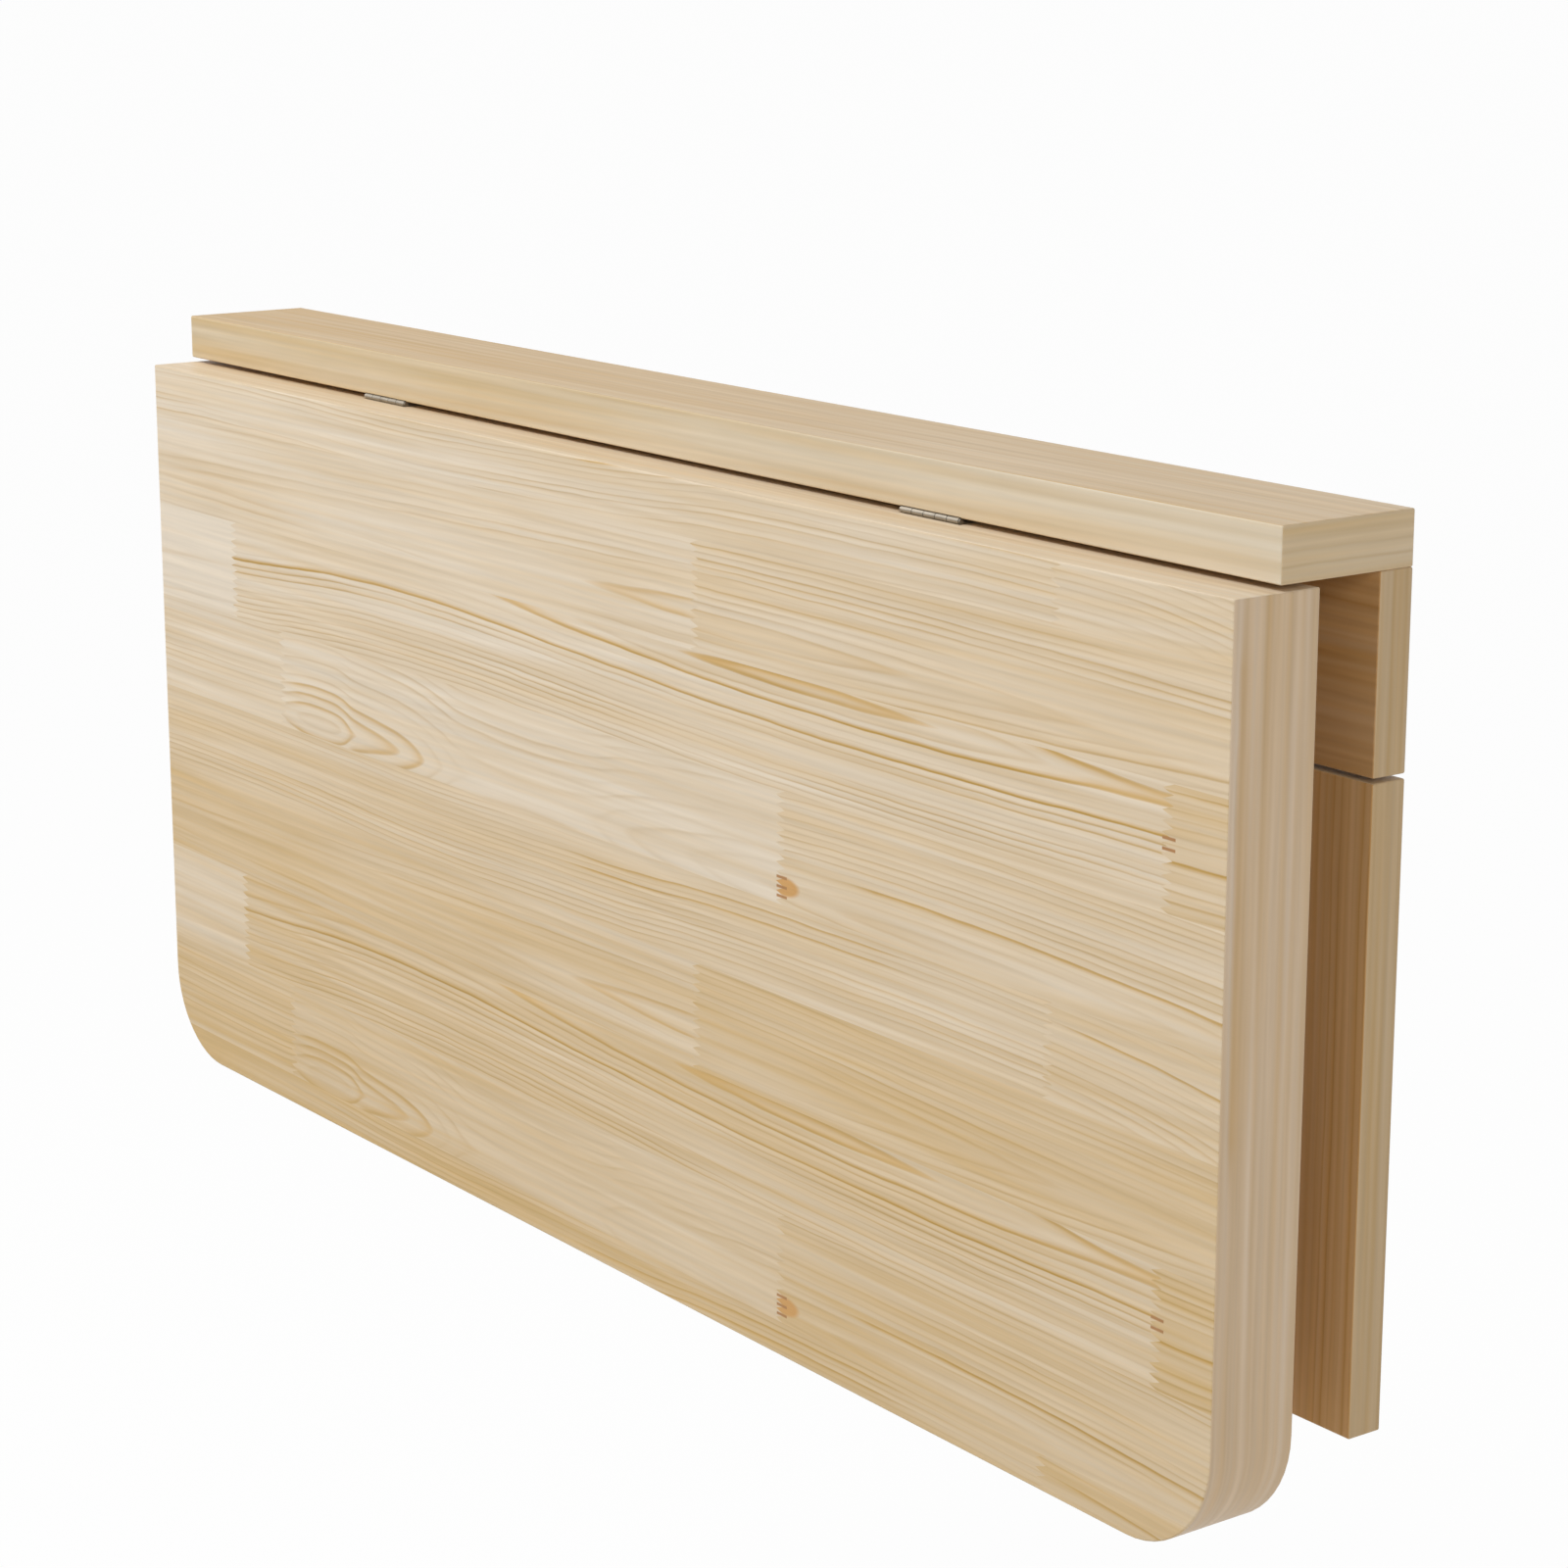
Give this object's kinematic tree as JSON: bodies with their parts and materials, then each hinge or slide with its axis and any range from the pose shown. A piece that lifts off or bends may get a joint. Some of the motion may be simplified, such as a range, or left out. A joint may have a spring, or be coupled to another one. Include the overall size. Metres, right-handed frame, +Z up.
{
  "type": "wall mounted drop leaf table",
  "caption": "Folding wall table in finger-jointed pine: a narrow shelf on a back rail, a thick hinged drop leaf with rounded lower corners, and a hinged panel behind that props it open.",
  "frame": {"origin": "middle of the back rail's wall face, at the centre of its four wall screw holes", "axes": "+X along the wall to the right seen from the room, +Y into the wall, +Z up"},
  "size_m": [0.8, 0.0855, 0.3834],
  "materials": {
    "pine": "satin clear lacquer",
    "beech_dowel": "bare, fluted",
    "hinge_steel": "nickel plated",
    "screw_steel": "zinc plated",
    "rubber_pad": "matt"
  },
  "bodies": {
    "wall_frame": {"shelf_board": "pine", "back_rail": "pine", "shelf_dowels": "beech_dowel", "bracket_screws": "screw_steel", "shelf_bracket_left": "hinge_steel", "shelf_bracket_centre": "hinge_steel", "shelf_bracket_right": "hinge_steel", "leaf_hinge_left_fixed_plate": "hinge_steel", "leaf_hinge_right_fixed_plate": "hinge_steel", "leaf_hinge_left_pin": "hinge_steel", "leaf_hinge_right_pin": "hinge_steel", "leaf_hinge_fixed_screws": "screw_steel", "prop_hinge_left_fixed_plate": "hinge_steel", "prop_hinge_right_fixed_plate": "hinge_steel", "prop_hinge_left_pin": "hinge_steel", "prop_hinge_right_pin": "hinge_steel", "prop_hinge_fixed_screws": "screw_steel"},
    "leaf": {"drop_leaf": "pine", "leaf_hinge_left_moving_plate": "hinge_steel", "leaf_hinge_right_moving_plate": "hinge_steel", "leaf_hinge_moving_screws": "screw_steel", "stop_block_left": "pine", "stop_block_right": "pine", "stop_pad_left": "rubber_pad", "stop_pad_right": "rubber_pad", "stop_screws": "screw_steel"},
    "support": {"support_panel": "pine", "prop_hinge_left_moving_plate": "hinge_steel", "prop_hinge_right_moving_plate": "hinge_steel", "prop_hinge_moving_screws": "screw_steel"}
  },
  "joints": [
    {"name": "leaf_fold", "type": "hinge", "parent": "wall_frame", "child": "leaf", "pos_m": [0, -0.0633, 0.0363], "axis": [-1, 0, 0], "range_deg": [0, 90]},
    {"name": "prop_swing", "type": "hinge", "parent": "wall_frame", "child": "support", "pos_m": [0, -0.016, -0.0384], "axis": [-1, 0, 0], "range_deg": [0, 102.43]}
  ],
  "couplings": [
    {"joint": "prop_swing", "follows": "leaf_fold", "ratio": 1.1381}
  ]
}
